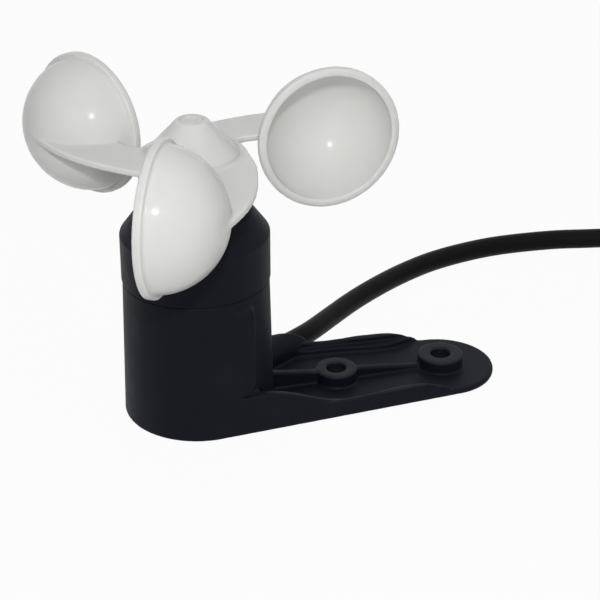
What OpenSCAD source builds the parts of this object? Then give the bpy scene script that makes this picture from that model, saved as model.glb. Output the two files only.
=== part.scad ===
// Cup anemometer with a footed housing, a three-cup rotor on ball bearings, and a two-core lead.
// Millimetres, +Z up along the rotor's axis, +X along the foot. z = 0 is the face it stands on.

/* [Housing] */
// Outer radius of the base at the floor
base_r = 23.2; // [22:0.1:24]
// Outer radius of the base at the seam
base_top_r = 22.2; // [21.5:0.1:22.4]
// Height of the seam between base and cap
seam_z = 45; // [43:0.5:47]
// Outer radius of the cap
cap_r = 22.5; // [22.4:0.1:23.5]
// Height where the cap's roof begins
shoulder_z = 59.7; // [58:0.1:60]
// Wall thickness of the mouldings
wall = 2.2; // [1.8:0.1:2.4]

/* [Foot] */
// Distance from the rotor's axis to the first fixing hole
hole_x = 44.5; // [43:0.5:46]
// Distance between the two fixing holes
hole_pitch = 35; // [34:0.5:36]
// Diameter of the fixing holes
hole_d = 6.4; // [5.5:0.1:7]
// Diameter of the boss round the first hole
boss_d = 13.4; // [12:0.2:14]
// Diameter of the boss round the end hole
end_boss_d = 14.6; // [13:0.2:15.2]
// Height of the bosses
boss_z = 6; // [5.8:0.1:6.4]
// Radius of the foot's round end
foot_end_r = 17.1; // [16.5:0.1:18]
// Thickness of the foot's floor
foot_floor = 1.9; // [1.6:0.1:2.4]
// Height of the wall round the foot between the holes
foot_wall_z = 6; // [5.6:0.1:6.6]
// Thickness of the rib along the foot
foot_rib_t = 2.4; // [2:0.1:3]

/* [Rotor] */
// Distance from the axis to each cup's centre
arm_r = 42.8; // [41:0.1:45]
// Height of the cups' centres
cup_z = 83.25; // [82.75:0.25:83.75]
// Outer radius of a cup's bowl
cup_r = 20.9; // [20.5:0.1:21.2]
// Wall thickness of a cup
cup_wall = 1.5; // [1.2:0.1:1.8]
// Outer radius of the bead round a cup's rim
bead_r = 22.4; // [22:0.1:22.6]
// Width of the bead
bead_w = 2.4; // [2:0.1:3]
// Angle of the first arm in the photographed pose
rotor_angle = -117.7; // [-180:0.1:180]

/* [Lead] */
// Diameter of the lead
cable_d = 7; // [6.8:0.1:7]
// Direction in which the lead leaves the housing
cable_az = 32; // [31:1:33]

/* [Hidden] */
$fn = 72;
floor_t = 2.6;
bore_r = base_top_r - wall;
foot_end_x = hole_x + hole_pitch;
hole_xs = [hole_x, foot_end_x];
// Half the width of the foot's hollow along its length, at the floor and above the ledge in its wall.
hollow_low = [
  [10, 16.4], [24, 16.6], [30, 16.6], [37, 16.2], [44, 15.6], [50, 15.2], [55, 14.6], [59, 13.8],
  [63.5, 13.4], [68, 13.5], [72.5, 14.8], [76.5, 16.6], [79.5, 18.5], [84, 22], [110, 22]
];
hollow_high = [
  [10, 18.6], [24, 18.7], [30, 18.6], [37, 18.3], [44, 17.7], [50, 17.3], [55, 16.9], [59, 16.5],
  [63.5, 16.2], [68, 16.2], [72.5, 16.6], [76.5, 17.6], [79.5, 19.5], [84, 23], [110, 23]
];
// The tall wall's block toward the foot, tangent to the base.
taper = asin((base_r - foot_end_r) / foot_end_x);
block_x = 13;
block_corner = 5.5;
block_low = 13;
// Posts for the cap screws and for the board.
post_az = [cable_az + 60, cable_az + 180, cable_az + 300];
post_at = 15.6;
post_top = seam_z - 4;
board_z = 35;
board_post_x = 7.4;
board_az = cable_az + 90;
// The cap's roof, shelf and bearing tube.
roof_r = 17.2;
roof_z = shoulder_z + (cap_r - roof_r) / tan(36.5);
tube_r = 8.2;
tube_top = 76;
tube_low = 49;
race_r = 5.5;
bearing_h = 4;
bearing_z = [51, 71];
pitch_r = 3.75;
ball_r = 0.75;
balls = 7;
shaft_r = 2;
// The rotor's stack: skirt flange, arm plates, cone.
plate_low = cup_z - 0.75;
plate_t = 1.9;
plate_top = plate_low + plate_t;
flange_low = plate_low - 3;
rib_h = 0.4;
hub_top = 95.5;
rim_y = 1;
cup_in_r = cup_r - cup_wall;
arm_screw = [3.2, 9];
arm_angles = [rotor_angle, rotor_angle + 120, rotor_angle + 240];
// The lead's tunnel, its way over the floor and its coil.
tunnel_z = 4.5;
tunnel_end = 37;
exit_at = 39;
cable_r = cable_d / 2;
route = [
  [33.07, 20.67, 4.5], [39.26, 24.54, 4.5], [44.1, 28.3, 4.3], [48.9, 32.7, 4], [54, 37.5, 3.7],
  [64, 46.2, 3.5], [75, 54.2, 3.5], [87, 61.6, 3.5], [100, 67.8, 3.5], [114, 71.8, 3.5], [129, 73.8, 3.5],
  [148, 73, 3.5], [162, 70.2, 3.6], [176, 66.8, 4], [190, 64, 4.6], [202, 62.6, 4.9], [211, 62.4, 4.9],
  [219, 62.4, 4.9]
];
coil_at = [226, 16.9];
coil_out_r = 45.5;
coil_pitch = 7.6;
coil_layers = 4;
layer_turns = 1.875;
coil_z = 4.9;
coil_in_r = coil_out_r - coil_pitch * layer_turns;
layer_angle = 360 * layer_turns;
coil_angle = layer_angle * coil_layers;
tie_az = [200, 340];

// One coordinate system for each arm: x outward, the cup's mouth toward -y.
module on_arms(which = [0, 1, 2]) {
  for (i = which)
    rotate([0, 0, arm_angles[i]])
      children();
}

module tube(r_out, r_in, z0, z1) {
  translate([0, 0, z0])
    difference() {
      cylinder(r = r_out, h = z1 - z0);
      translate([0, 0, -1])
        cylinder(r = r_in, h = z1 - z0 + 2);
    }
}

module rod(r, z0, z1) {
  translate([0, 0, z0])
    cylinder(r = r, h = z1 - z0);
}

// A cylinder along the lead's direction, from one distance from the axis to another.
module along_lead(r, from, to) {
  rotate([0, 0, cable_az])
    translate([from, 0, tunnel_z])
      rotate([0, 90, 0])
        cylinder(r = r, h = to - from);
}

// The foot's outline: the base's circle, the round end, and the two tangents.
module foot_plan(inset = 0) {
  big = base_r - inset;
  small = foot_end_r - inset;
  nx = sin(taper);
  ny = cos(taper);
  circle(r = big);
  translate([foot_end_x, 0])
    circle(r = small);
  polygon([
    [big * nx, big * ny], [foot_end_x + small * nx, small * ny],
    [foot_end_x + small * nx, -small * ny], [big * nx, -big * ny]
  ]);
}

// The foot seen from the side: its wall sweeps up to the housing.
module foot_side() {
  rotate([90, 0, 0])
    linear_extrude(height = 80, center = true)
      polygon([
        [0, 0], [110, 0], [110, foot_floor + 0.4], [79, foot_floor + 0.4], [76.5, 3.1], [73.5, 4.3],
        [70.5, 5.3], [67, foot_wall_z], [57, foot_wall_z], [52, 5.5], [46.5, 5.2], [42, 5.3], [37.5, 6.1],
        [33, 7.5], [28, 9.6], [23, 11.4], [17, 12.6], [0, 12.6]
      ]);
}

// The hollow in the foot, alike on both sides of its middle line.
module foot_hollow(half) {
  n = len(half);
  linear_extrude(height = 20)
    polygon([
      for (i = [0 : 2 * n - 1])
        i < n ? half[i] : [half[2 * n - 1 - i][0], -half[2 * n - 1 - i][1]]
    ]);
}

// The block seen from the side, its lower corner rounded off above the foot.
module block_side() {
  rotate([90, 0, 0])
    linear_extrude(height = 80, center = true) {
      translate([-2, 0])
        square([block_x - block_corner + 2, seam_z]);
      translate([-2, block_low + block_corner])
        square([block_x + 2, seam_z]);
      translate([block_x - block_corner, block_low + block_corner])
        circle(r = block_corner);
    }
}

// The rib along the foot, seen from the side: it falls from the housing to the end boss.
module foot_rib() {
  rotate([90, 0, 0])
    linear_extrude(height = foot_rib_t, center = true)
      polygon([
        [base_r - 4, 0.5], [foot_end_x, 0.5], [foot_end_x, 3], [hole_x + 27, 3.1], [hole_x + 17.5, 4.3],
        [hole_x + 6.5, 5.3], [hole_x, 5.6], [hole_x - 7, 5.95], [hole_x - 15.5, 7], [base_r - 0.7, 7.9],
        [base_r - 4, 7.9]
      ]);
}

module base_outside() {
  cylinder(r1 = base_r, r2 = base_top_r, h = seam_z);
  // The block that squares the housing off toward the foot.
  intersection() {
    linear_extrude(height = seam_z - 3.2)
      foot_plan(0.6);
    block_side();
  }
  difference() {
    intersection() {
      linear_extrude(height = 13)
        foot_plan();
      foot_side();
    }
    translate([0, 0, foot_floor])
      foot_hollow(hollow_low);
    translate([0, 0, foot_floor + 2])
      foot_hollow(hollow_high);
  }
  translate([hole_x, 0, 0])
    cylinder(d = boss_d, h = boss_z);
  translate([foot_end_x, 0, 0])
    cylinder(d = end_boss_d, h = boss_z);
  foot_rib();
  // The tunnel over the lead, flush with the outside of the foot.
  intersection() {
    along_lead(5.2, 16, 60);
    linear_extrude(height = 20)
      foot_plan();
  }
}

module base_housing() {
  color("#25282d")
    difference() {
      union() {
        difference() {
          base_outside();
          rod(bore_r, floor_t, seam_z + 1);
        }
        at_posts()
          cylinder(r = 4, h = post_top);
        at_board_posts()
          rod(2.4, floor_t - 0.1, board_z);
        // Saddle under the lead.
        rotate([0, 0, cable_az])
          translate([11, -8, floor_t - 0.1])
            cube([5, 16, tunnel_z - floor_t + 0.1]);
      }
      // The lead's way in.
      along_lead(4, 8.5, 60);
      for (x = hole_xs)
        translate([x, 0, -1])
          cylinder(d = hole_d, h = 20);
      // Counterbores for the cap screws, drilled up from the floor.
      at_posts() {
        rod(2.9, -1, post_top - 7);
        rod(1.6, -1, seam_z);
      }
      at_board_posts()
        rod(1.1, board_z - 9, board_z + 1);
      at_clamp_screws()
        rod(1.1, 0.8, 8);
    }
}

module at_posts() {
  for (a = post_az)
    rotate([0, 0, a])
      translate([post_at, 0, 0])
        children();
}

module at_board_posts() {
  for (s = [-1, 1])
    rotate([0, 0, board_az])
      translate([s * board_post_x, 0, 0])
        children();
}

module at_clamp_screws() {
  for (s = [-1, 1])
    rotate([0, 0, cable_az])
      translate([13.5, s * 6, 0])
        children();
}

module along_saddle() {
  translate([5, 0, tunnel_z])
    rotate([0, 90, 0])
      cylinder(r = cable_r + 0.05, h = 20);
}

module top_cap() {
  color("#2a2d33")
    difference() {
      union() {
        rotate_extrude()
          polygon([
            [0, seam_z + 0.15], [cap_r, seam_z + 0.15], [cap_r, shoulder_z], [roof_r, roof_z],
            [14.6, roof_z],
            [14.3, 71.5], [13.1, 71.5], [12.8, roof_z], [tube_r, roof_z], [tube_r, tube_top], [0, tube_top]
          ]);
        // The spigot that the base's bore takes.
        tube(bore_r - 0.05, bore_r - 1.8, seam_z - 3, seam_z + 1);
        rod(tube_r, tube_low, seam_z + 16);
        at_posts()
          rod(3.6, post_top, seam_z + 1);
      }
      difference() {
        rotate_extrude()
          polygon([
            [0, seam_z - 5], [bore_r - 1.8, seam_z - 5], [bore_r - 1.8, shoulder_z - 1],
            [roof_r - 2.4, roof_z - 2.2],
            [0, roof_z - 2.2]
          ]);
        rod(tube_r, tube_low, tube_top);
        at_posts()
          rod(3.6, post_top, post_top + 30);
      }
      at_posts()
        rod(1.3, post_top - 1, post_top + 10);
      // Seats for the bearings, open at both ends of the tube.
      rod(race_r + 0.01, tube_low - 1, bearing_z[0] + bearing_h);
      rod(4.4, tube_low - 1, tube_top + 1);
      rod(race_r + 0.01, bearing_z[1], tube_top + 1);
      // Groove for the retaining ring.
      rod(6.1, bearing_z[1] + bearing_h, bearing_z[1] + bearing_h + 0.6);
      // Groove for the seal.
      tube(bore_r + 0.3, bore_r - 0.95, seam_z - 2.2, seam_z - 0.8);
    }
}

module cap_seal() {
  color("#b5522b")
    rotate_extrude()
      translate([bore_r - 0.5, seam_z - 1.5])
        circle(r = 0.45, $fn = 24);
}

module cap_screws() {
  color("#c9ccd1")
    at_posts()
      difference() {
        union() {
          rod(2.7, post_top - 9.5, post_top - 7);
          rod(1.25, post_top - 7, post_top + 9);
        }
        rod(1.3, post_top - 10, post_top - 8.2);
      }
}

module bearing_outer_rings() {
  color("#d5d8dc")
    for (z = bearing_z)
      translate([0, 0, z])
        difference() {
          tube(race_r, 4.3, 0, bearing_h);
          ball_track();
        }
}

module bearing_inner_rings() {
  color("#cfd2d6")
    for (z = bearing_z)
      translate([0, 0, z])
        difference() {
          tube(3.2, shaft_r + 0.01, 0, bearing_h);
          ball_track();
        }
}

module ball_track() {
  translate([0, 0, bearing_h / 2])
    rotate_extrude()
      translate([pitch_r, 0])
        circle(r = ball_r + 0.06, $fn = 32);
}

module bearing_balls() {
  color("#eef0f2")
    for (z = bearing_z, i = [0 : balls - 1])
      rotate([0, 0, i * 360 / balls])
        translate([pitch_r, 0, z + bearing_h / 2])
          sphere(r = ball_r, $fn = 24);
}

module ball_cages() {
  color("#b08d4a")
    for (z = bearing_z)
      difference() {
        tube(4.05, 3.45, z + 1.1, z + 2.9);
        for (i = [0 : balls - 1])
          rotate([0, 0, i * 360 / balls])
            translate([pitch_r, 0, z + bearing_h / 2])
              sphere(r = ball_r + 0.03, $fn = 24);
      }
}

module bearing_clip() {
  color("#8d9299")
    difference() {
      tube(6.05, 4.7, bearing_z[1] + bearing_h, bearing_z[1] + bearing_h + 0.55);
      translate([3, -1.2, bearing_z[1]])
        cube([6, 2.4, 10]);
    }
}

module spindle() {
  color("#dfe2e6")
    difference() {
      rod(shaft_r, 42, hub_top - 4);
      // Groove for the circlip under the lower bearing.
      tube(3, 1.6, bearing_z[0] - 0.7, bearing_z[0]);
    }
}

module spindle_circlip() {
  color("#8d9299")
    difference() {
      tube(3.4, 1.62, bearing_z[0] - 0.6, bearing_z[0]);
      translate([0, -1.2, bearing_z[0] - 2])
        cube([6, 2.4, 4]);
    }
}

module spindle_spacer() {
  color("#b9bdc2")
    tube(3.2, shaft_r + 0.02, bearing_z[1] + bearing_h, flange_low - 0.5);
}

module hub_insert() {
  color("#c8a24c")
    union() {
      tube(4.5, shaft_r + 0.01, flange_low - 0.5, hub_top - 8);
      tube(6, 4.4, flange_low - 0.5, flange_low);
    }
}

module spindle_nut() {
  color("#c9ccd1")
    difference() {
      translate([0, 0, hub_top - 8])
        cylinder(r = 3.4, h = 2.6, $fn = 6);
      rod(shaft_r + 0.01, 80, 100);
    }
}

module magnet_carrier() {
  color("#e8e3d6")
    difference() {
      union() {
        rod(9, 42, 45.5);
        rod(4, 45.5, 48.5);
      }
      rod(shaft_r + 0.01, 40, 60);
      for (s = [-1, 1])
        translate([s * 6.2, 0, 41])
          cylinder(r = 2.01, h = 3.5);
    }
}

module magnets() {
  color("#9aa0a8")
    for (s = [-1, 1])
      translate([s * 6.2, 0, 41.6])
        cylinder(r = 2, h = 2.9);
}

// An arm's outline from above: a broad plate that leaves the hub's circle and sweeps out to the bowl.
module arm_plan() {
  polygon([
    [0.3, 6.3], [13.2, 6.3], [15.2, 6.9], [16.6, 7.9], [18.2, 8.4], [arm_r - 8, 8.4], [arm_r - 8, 19.6],
    [arm_r + 1.2, 20.5], [arm_r + 4.7, 20.6], [arm_r + 4.2, 21.2], [42, 22.5], [36, 23.7], [30, 24.35],
    [22, 24.1], [14, 22.8], [9.3, 21.6], [5, 20.3], [2.5, 19.3], [-1.1, 17.45], [-4.5, 15.6],
    [-8, 13.86], [-12.5, 10.05], [-11.2, 9.3]
  ]);
}

module cup_arm(i) {
  color("#eceef0")
    on_arms([i])
      difference() {
        union() {
          translate([0, 0, plate_low])
            linear_extrude(height = plate_t)
              arm_plan();
          // The rib along the top of the plate.
          translate([8.6, 13.9, plate_top - 0.1])
            cube([arm_r - 8.6, 1.6, rib_h + 0.1]);
          translate([arm_r, rim_y, cup_z])
            rotate([-90, 0, 0])
              rotate_extrude()
                polygon(concat(
                  [[0, 0], [bead_r, 0], [bead_r, bead_w], [cup_r, bead_w + 0.3]],
                  [for (a = [12 : 6 : 90]) [cup_r * cos(a), cup_r * sin(a)]]
                ));
        }
        translate([arm_r, rim_y, cup_z])
          sphere(r = cup_in_r, $fn = 96);
        translate([arm_screw[0], arm_screw[1], plate_low - 1])
          cylinder(r = 1.4, h = plate_t + 2);
      }
}

module cup_arm_1() {
  cup_arm(0);
}

module cup_arm_2() {
  cup_arm(1);
}

module cup_arm_3() {
  cup_arm(2);
}

module hub_skirt() {
  color("#f4f5f6")
    difference() {
      rotate_extrude()
        polygon([
          [4.52, flange_low], [14.6, flange_low], [15.2, flange_low - 1], [15.2, 68.3],
          [15.6, 68], [16.1, 68.4],
          [16.1, plate_low - 0.6], [15.5, plate_low], [4.52, plate_low]
        ]);
      on_arms()
        translate([arm_screw[0], arm_screw[1], 70])
          cylinder(r = 1.4, h = 20);
    }
}

module hub_cone() {
  color("#f1f2f4")
    difference() {
      union() {
        rotate_extrude()
          polygon([
            [0, plate_top], [16, plate_top], [15.9, plate_top + 0.15], [14.6, plate_top + 0.5],
            [13.3, plate_top + 1.1],
            [5, hub_top - 0.6], [4.5, hub_top - 0.2], [4, hub_top], [0, hub_top]
          ]);
        rod(5.9, plate_low, plate_top + 1);
      }
      rod(4.52, plate_low - 1, hub_top - 8);
      rod(3.6, plate_low, hub_top - 2.4);
      rod(3.3, hub_top - 3, hub_top + 1);
      on_arms()
        translate([arm_screw[0], arm_screw[1], plate_low - 1])
          cylinder(r = 1.3, h = plate_t + 4);
    }
}

module hub_plug() {
  color("#f6f7f8")
    difference() {
      rotate_extrude()
        polygon([
          [0, hub_top - 2.4], [3.25, hub_top - 2.4], [3.25, hub_top - 0.1],
          [2.9, hub_top + 0.1], [0, hub_top + 0.1]
        ]);
      translate([0, 0, hub_top + 1.6])
        sphere(r = 2.4);
    }
}

module hub_screws() {
  color("#c9ccd1")
    on_arms()
      translate([arm_screw[0], arm_screw[1], 0])
        difference() {
          union() {
            rod(2.5, flange_low - 2, flange_low);
            rod(1.25, flange_low, plate_top + 2.7);
          }
          rod(1.2, flange_low - 3, flange_low - 1);
        }
}

module sensor_board() {
  color("#2f6b45")
    difference() {
      rotate([0, 0, board_az])
        translate([-10, -5.2, board_z])
          cube([20, 10.4, 1.6]);
      at_board_posts()
        rod(1.3, board_z - 1, board_z + 3);
    }
}

module board_screws() {
  color("#c9ccd1")
    at_board_posts()
      union() {
        rod(2.1, board_z + 1.6, board_z + 3.2);
        rod(1.05, board_z - 7.5, board_z + 1.6);
      }
}

// A glass capsule on two bent wires that stand on the board.
module reed_switch() {
  color("#9fc3b4")
    rotate([0, 0, board_az])
      translate([0, -3.8, board_z]) {
        translate([-5, 0, 2.9])
          rotate([0, 90, 0])
            cylinder(r = 1.2, h = 10);
        translate([-7, 0, 2.9])
          rotate([0, 90, 0])
            cylinder(r = 0.3, h = 14);
        for (x = [-6.8, 6.8])
          translate([x, 0, 1.6])
            cylinder(r = 0.3, h = 1.3);
      }
}

module terminal_block() {
  color("#3f7fb0")
    difference() {
      translate([-4.2, -3, board_z - 8])
        cube([8.4, 6, 8]);
      for (s = [-1, 1])
        translate([s * 2, 0, board_z - 9])
          cylinder(r = 1.25, h = 7);
    }
}

module cable_grommet() {
  color("#17181a")
    difference() {
      along_lead(3.95, 20.5, tunnel_end);
      along_lead(cable_r + 0.02, 15, 60);
    }
}

module cable_clamp() {
  color("#d9d4c4")
    rotate([0, 0, cable_az])
      difference() {
        translate([11, -8, tunnel_z + 0.3])
          cube([5, 16, 5]);
        along_saddle();
        translate([13.5, 6, 0])
          cylinder(r = 1.3, h = 20);
        translate([13.5, -6, 0])
          cylinder(r = 1.3, h = 20);
      }
}

module clamp_screws() {
  color("#c9ccd1")
    at_clamp_screws()
      union() {
        rod(1.9, tunnel_z + 5.3, tunnel_z + 7);
        rod(1.05, 1.2, tunnel_z + 5.3);
      }
}

module cable_inside() {
  color("#1b1c1c")
    along_lead(cable_r, 9, exit_at - 0.01);
}

// A core's bent path from the sheath's end up into the terminal block.
lead_way = [cos(cable_az), sin(cable_az), 0];
lead_side = [-sin(cable_az), cos(cable_az), 0];
function by_lead(u, v, z) = u * lead_way + v * lead_side + [0, 0, z];
function core_path(s) = [
  by_lead(9, s * 1.4, tunnel_z), by_lead(7.2, s * 1.4, tunnel_z), by_lead(5.4, s * 1.45, tunnel_z + 0.9),
  by_lead(4.4, s * 1.5, tunnel_z + 3.4), by_lead(3.4, s * 1.6, tunnel_z + 8), [s * -2, 0.4, board_z - 14],
  [s * -2, 0, board_z - 10], [s * -2, 0, board_z - 4]
];

module core(s) {
  sweep(core_path(s), 0.95, 8, -lead_way, [0, 0, 1], lead_side);
}

module core_brown() {
  color("#6b3f22")
    core(1);
}

module core_blue() {
  color("#2b5fa8")
    core(-1);
}

// A tube swept along points: rings square to the path, closed at both ends.
function unit(v) = v / norm(v);
function way(p, i) = unit(p[min(i + 1, len(p) - 1)] - p[max(i - 1, 0)]);
function ring(p, i, r, n, w, level) =
  let (side = unit(cross(level, w)), top = cross(w, side))
  [for (k = [0 : n - 1]) p[i] + r * (cos(360 * k / n) * side + sin(360 * k / n) * top)];

module sweep(p, r, n, first, last, level = [0, 0, 1]) {
  m = len(p);
  ways = [for (i = [0 : m - 1]) i == 0 ? first : i == m - 1 ? last : way(p, i)];
  pts = [for (i = [0 : m - 1]) each ring(p, i, r, n, ways[i], level)];
  sides = [for (i = [0 : m - 2], k = [0 : n - 1])
    let (a = i * n + k, b = i * n + (k + 1) % n)
    each [[a, a + n, b], [b, a + n, b + n]]];
  low = [for (k = [1 : n - 2]) [0, k, k + 1]];
  high = [for (k = [1 : n - 2]) [(m - 1) * n, (m - 1) * n + k + 1, (m - 1) * n + k]];
  polyhedron(points = pts, faces = concat(sides, low, high));
}

module cable_free() {
  color("#1b1c1c")
    sweep(route, cable_r, 10, [cos(cable_az), sin(cable_az), 0], [1, 0, 0]);
}

// The coil: a spiral that runs in and out by turns, one layer above the other.
function smooth(x) = x <= 0 ? 0 : x >= 1 ? 1 : x * x * (3 - 2 * x);
function coil_r(a) =
  let (k = floor(a / layer_angle), u = (a - k * layer_angle) / 360 * coil_pitch)
  k % 2 == 0 ? coil_out_r - u : coil_in_r + u;
function coil_up(a) =
  coil_z + 7.6 * (smooth((a - layer_angle + 90) / 180) + smooth((a - 2 * layer_angle + 90) / 180)
    + smooth((a - 3 * layer_angle + 90) / 180));
function coil_point(a) =
  [coil_at[0] + coil_r(a) * cos(90 - a), coil_at[1] + coil_r(a) * sin(90 - a), coil_up(a)];
coil_end_a = coil_angle - 50;
coil_last = coil_point(coil_end_a);
coil_way = [sin(90 - coil_end_a), -cos(90 - coil_end_a), 0];
coil_path = concat(
  [coil_point(0) - [cable_d, 0, 0]],
  [for (a = [0 : 15 : coil_end_a]) coil_point(a)],
  [coil_last + 0.1 * coil_way, coil_last + (cable_d + 0.1) * coil_way]
);
coil_gap = min([for (i = [0 : len(coil_path) - 1], j = [i + 9 : 1 : len(coil_path) - 1])
  norm(coil_path[i] - coil_path[j])]) - cable_d;
echo(coil_gap = coil_gap);

module cable_coil() {
  color("#1b1c1c")
    sweep(coil_path, cable_r, 6, [1, 0, 0], coil_way);
}

module cable_ties() {
  color("#e9e9e6")
    translate([coil_at[0], coil_at[1], 0])
      for (a = tie_az)
        rotate([0, 0, a])
          translate([0, 2.2, 0])
            rotate([90, 0, 0])
              linear_extrude(height = 4.4)
                difference() {
                  translate([coil_in_r - 6, 0])
                    square([coil_out_r - coil_in_r + 12, 33.6]);
                  translate([coil_in_r - 4.6, 1.2])
                    square([coil_out_r - coil_in_r + 9.2, 31.2]);
                }
}

// The lead's bare end: two cores out of the sheath, lying on the coil, each with a ferrule.
coil_tail = coil_path[len(coil_path) - 1];
tail_turn = [14, 20, 27, 34, 41, 48];
tail_r = [[43.4, 42.4, 41.7, 41.4, 41.3, 41.3], [45.2, 44.5, 43.8, 43.5, 43.4, 43.4]];
tail_z = [[27.2, 26, 25, 24.7, 24.7, 24.7], [27, 25.6, 24.4, 24, 24, 24]];
function round_coil(r, a, z) = [coil_at[0] + r * cos(90 - a), coil_at[1] + r * sin(90 - a), z];
function round_way(a) = [sin(90 - a), -cos(90 - a), 0];
function tail_path(k) = concat(
  [coil_tail + (k == 0 ? 1.3 : -1.3) * [coil_way[1], -coil_way[0], 0]],
  [for (i = [0 : 5]) round_coil(tail_r[k][i], coil_end_a + tail_turn[i], tail_z[k][i])]
);

module tail_core(k) {
  sweep(tail_path(k), 0.95, 8, coil_way, round_way(coil_end_a + tail_turn[5]));
}

module tail_core_brown() {
  color("#6b3f22")
    tail_core(0);
}

module tail_core_blue() {
  color("#2b5fa8")
    tail_core(1);
}

module tail_ferrules() {
  color("#c9ccd1")
    for (k = [0, 1])
      translate(tail_path(k)[6])
        rotate([0, 0, -coil_end_a - tail_turn[5]])
          rotate([0, 90, 0])
            cylinder(r = 0.6, h = 8);
}

base_housing();
top_cap();
cap_seal();
cap_screws();
bearing_outer_rings();
bearing_clip();
sensor_board();
board_screws();
reed_switch();
terminal_block();
cable_grommet();
cable_clamp();
clamp_screws();
cable_inside();
core_brown();
core_blue();
bearing_balls();
ball_cages();
bearing_inner_rings();
spindle();
spindle_circlip();
spindle_spacer();
spindle_nut();
hub_insert();
magnet_carrier();
magnets();
hub_skirt();
cup_arm_1();
cup_arm_2();
cup_arm_3();
hub_cone();
hub_screws();
hub_plug();
cable_free();
cable_coil();
cable_ties();
tail_core_brown();
tail_core_blue();
tail_ferrules();
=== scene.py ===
import math

import bmesh
import bpy
import numpy as np
from mathutils import Matrix, Vector, geometry


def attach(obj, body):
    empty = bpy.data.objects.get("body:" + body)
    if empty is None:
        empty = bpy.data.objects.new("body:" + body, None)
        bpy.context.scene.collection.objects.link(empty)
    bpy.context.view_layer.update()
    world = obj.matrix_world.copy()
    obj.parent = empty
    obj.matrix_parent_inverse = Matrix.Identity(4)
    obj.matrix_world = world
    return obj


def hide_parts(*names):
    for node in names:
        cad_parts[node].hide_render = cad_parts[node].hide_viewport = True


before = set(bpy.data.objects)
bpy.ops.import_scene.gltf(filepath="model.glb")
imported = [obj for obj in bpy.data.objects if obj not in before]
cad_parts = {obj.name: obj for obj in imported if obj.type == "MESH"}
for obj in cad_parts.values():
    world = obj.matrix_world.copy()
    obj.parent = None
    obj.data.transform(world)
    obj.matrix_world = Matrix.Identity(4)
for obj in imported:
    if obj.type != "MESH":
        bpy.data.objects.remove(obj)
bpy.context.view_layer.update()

# The view: a long lens close to the instrument, looking down past the front cup onto the foot.
# The object stands on a pale table top in a white room, lit from beside the lens.
eye = bpy.data.cameras.new("view")
eye.lens = 108
eye.sensor_width = 36
camera = bpy.data.objects.new("view", eye)
camera.location = (-0.10016, -0.47534, 0.29031)
camera.rotation_euler = (math.radians(62.35), 0, math.radians(-15.6))
bpy.context.scene.collection.objects.link(camera)
bpy.context.scene.camera = camera
bpy.context.scene.view_settings.view_transform = "Standard"


# The room: a plain world, white where the lens, a gloss or a clear part looks at it.
# For everything else it is an even and much weaker light.
class Wire:
    """One end of a node wire. Arithmetic on it adds the nodes that do the sum."""

    def __init__(self, tree, end=None):
        self.tree = tree
        self.end = end

    def node(self, kind, settings=None, values=None, take=0):
        """A wire from one output of a new node, whose inputs are values or other wires."""
        made = self.tree.nodes.new(kind)
        for key, value in (settings or {}).items():
            setattr(made, key, value)
        for key, value in (values or {}).items():
            if isinstance(value, Wire):
                value.into(made.inputs[key])
            else:
                made.inputs[key].default_value = value
        return Wire(self.tree, made.outputs[take] if made.outputs else None)

    def into(self, socket):
        self.tree.links.new(self.end, socket)

    def sum(self, operation, first, second):
        return self.node("ShaderNodeMath", {"operation": operation}, {0: first, 1: second})

    def __add__(self, other):
        return self.sum("ADD", self, other)

    def __radd__(self, other):
        return self.sum("ADD", other, self)

    def __sub__(self, other):
        return self.sum("SUBTRACT", self, other)

    def __rsub__(self, other):
        return self.sum("SUBTRACT", other, self)

    def __mul__(self, other):
        return self.sum("MULTIPLY", self, other)

    def __rmul__(self, other):
        return self.sum("MULTIPLY", other, self)

    def __truediv__(self, other):
        return self.sum("DIVIDE", self, other)

    def __rtruediv__(self, other):
        return self.sum("DIVIDE", other, self)

    def largest(self, other):
        return self.sum("MAXIMUM", self, other)

    def sine(self):
        return self.node("ShaderNodeMath", {"operation": "SINE"}, {0: self})

    def cosine(self):
        return self.node("ShaderNodeMath", {"operation": "COSINE"}, {0: self})

    def rise(self, low, high):
        """From nought to one, evenly, between two values of this wire."""
        return self.node("ShaderNodeMapRange", None, {0: self, 1: low, 2: high})

    def above(self, low, high):
        """From nought to one, eased at both ends, between two values of this wire."""
        eased = {"interpolation_type": "SMOOTHSTEP"}
        return self.node("ShaderNodeMapRange", eased, {0: self, 1: low, 2: high})

    def between(self, first, second):
        """A colour between two, by this wire's value."""
        blend = {0: self, 6: first, 7: second}
        return self.node("ShaderNodeMix", {"data_type": "RGBA"}, blend, take=2)

    def noise(self, scale, detail, roughness=0.5, distortion=0.0):
        """Cloudy noise at this wire's place."""
        return self.node("ShaderNodeTexNoise", None, {
            "Vector": self, "Scale": scale, "Detail": detail, "Roughness": roughness,
            "Distortion": distortion})

    def parts(self):
        """A place's three numbers, each on a wire of its own."""
        ends = self.node("ShaderNodeSeparateXYZ", None, {0: self}).end.node.outputs
        return [Wire(self.tree, end) for end in ends]


def in_sight(wire):
    """One for rays from the lens, a gloss or a clear part, and nought for all others."""
    ends = wire.node("ShaderNodeLightPath").end.node.outputs
    kinds = ("Camera", "Glossy", "Transmission")
    lens, gloss, clear = [Wire(wire.tree, ends[f"Is {kind} Ray"]) for kind in kinds]
    return lens.largest(gloss).largest(clear)


world = bpy.data.worlds.new("white_room")
world.use_nodes = True
bpy.context.scene.world = world
background = world.node_tree.nodes["Background"]
background.inputs["Color"].default_value = (1, 1, 1, 1)
(in_sight(Wire(world.node_tree)) * 0.8 + 0.2).into(background.inputs["Strength"])


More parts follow.
